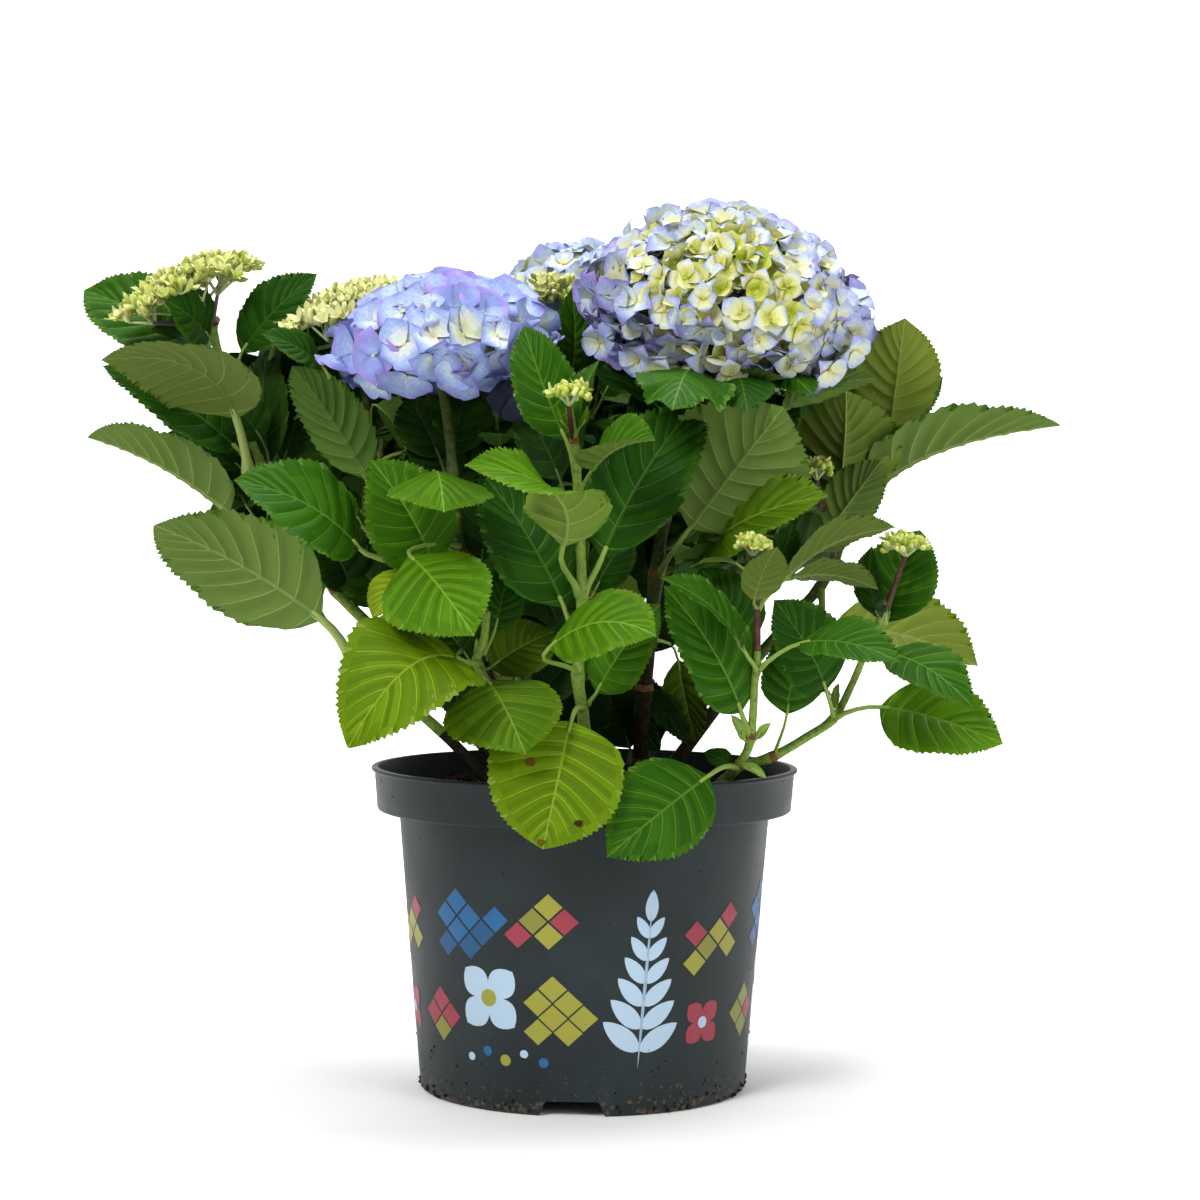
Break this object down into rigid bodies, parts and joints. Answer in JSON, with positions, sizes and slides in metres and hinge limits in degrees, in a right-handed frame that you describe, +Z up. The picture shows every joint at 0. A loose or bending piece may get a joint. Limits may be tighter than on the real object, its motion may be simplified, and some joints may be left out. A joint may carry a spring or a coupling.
{
  "type": "potted hydrangea shrub",
  "caption": "Potted bigleaf hydrangea shrub: charcoal nursery pot of compost, green canes, broad toothed leaves, and domed blue and cream flower heads.",
  "frame": {"origin": "centre of the flat underside of the pot, on the surface it stands on", "axes": "+Z up along the pot's axis; -Y towards the front of the plant, where two leaves hang over the rim; +X to the right seen from the front"},
  "size_m": [0.532, 0.3428, 0.4806],
  "materials": {
    "pot": "satin moulded plastic, charcoal grey, with a printed plain pattern",
    "compost": "dark crumbly potting compost with bark fibre",
    "stems": "green canes, flecked dark, red-brown at the nodes",
    "leaves": "toothed leaves, satin green above, pale grey-green below",
    "blue_florets": "papery blue and violet sepals",
    "cream_florets": "papery cream-yellow sepals with lavender margins",
    "buds": "yellow-green unopened buds"
  },
  "bodies": {
    "root": {"back_head": "blue_florets", "blue_head": "blue_florets", "cane_back_head": "stems", "cane_back_left": "stems", "cane_back_right": "stems", "cane_blue_head": "stems", "cane_far_left": "stems", "cane_far_right": "stems", "cane_front": "stems", "cane_great_head": "stems", "cane_left": "stems", "cane_low_left": "stems", "cane_mid_left": "stems", "cane_right": "stems", "cane_right_low": "stems", "compost": "compost", "great_head": "cream_florets", "lime_head_left": "buds", "lime_head_mid": "buds", "mass_back_far_left": "leaves", "mass_back_left": "leaves", "mass_back_low": "leaves", "mass_back_mid": "leaves", "mass_back_outer": "leaves", "mass_back_right": "leaves", "mass_centre": "leaves", "mass_front_high": "leaves", "mass_front_low": "leaves", "mass_left_mid": "leaves", "mass_left_top": "leaves", "mass_right_back": "leaves", "mass_right_front": "leaves", "mass_under_great_head": "leaves", "pad_bud_leaf": "leaves", "pad_front_drop": "leaves", "pad_front_left": "leaves", "pad_front_low": "leaves", "pad_front_right": "leaves", "pad_front_top": "leaves", "pad_front_upright": "leaves", "pad_left_blade": "leaves", "pad_left_broad": "leaves", "pad_left_front": "leaves", "pad_left_peak": "leaves", "pad_left_tip": "leaves", "pad_left_upper": "leaves", "pad_low_left": "leaves", "pad_low_mid": "leaves", "pad_mid_right": "leaves", "pad_over_rim": "leaves", "pad_over_rim_right": "leaves", "pad_right_end": "leaves", "pad_right_front": "leaves", "pad_right_long": "leaves", "pad_right_low": "leaves", "pad_right_mid": "leaves", "pad_right_tall": "leaves", "pot": "pot", "rear_head": "blue_florets", "rear_lime_head": "buds"}
  },
  "joints": []
}
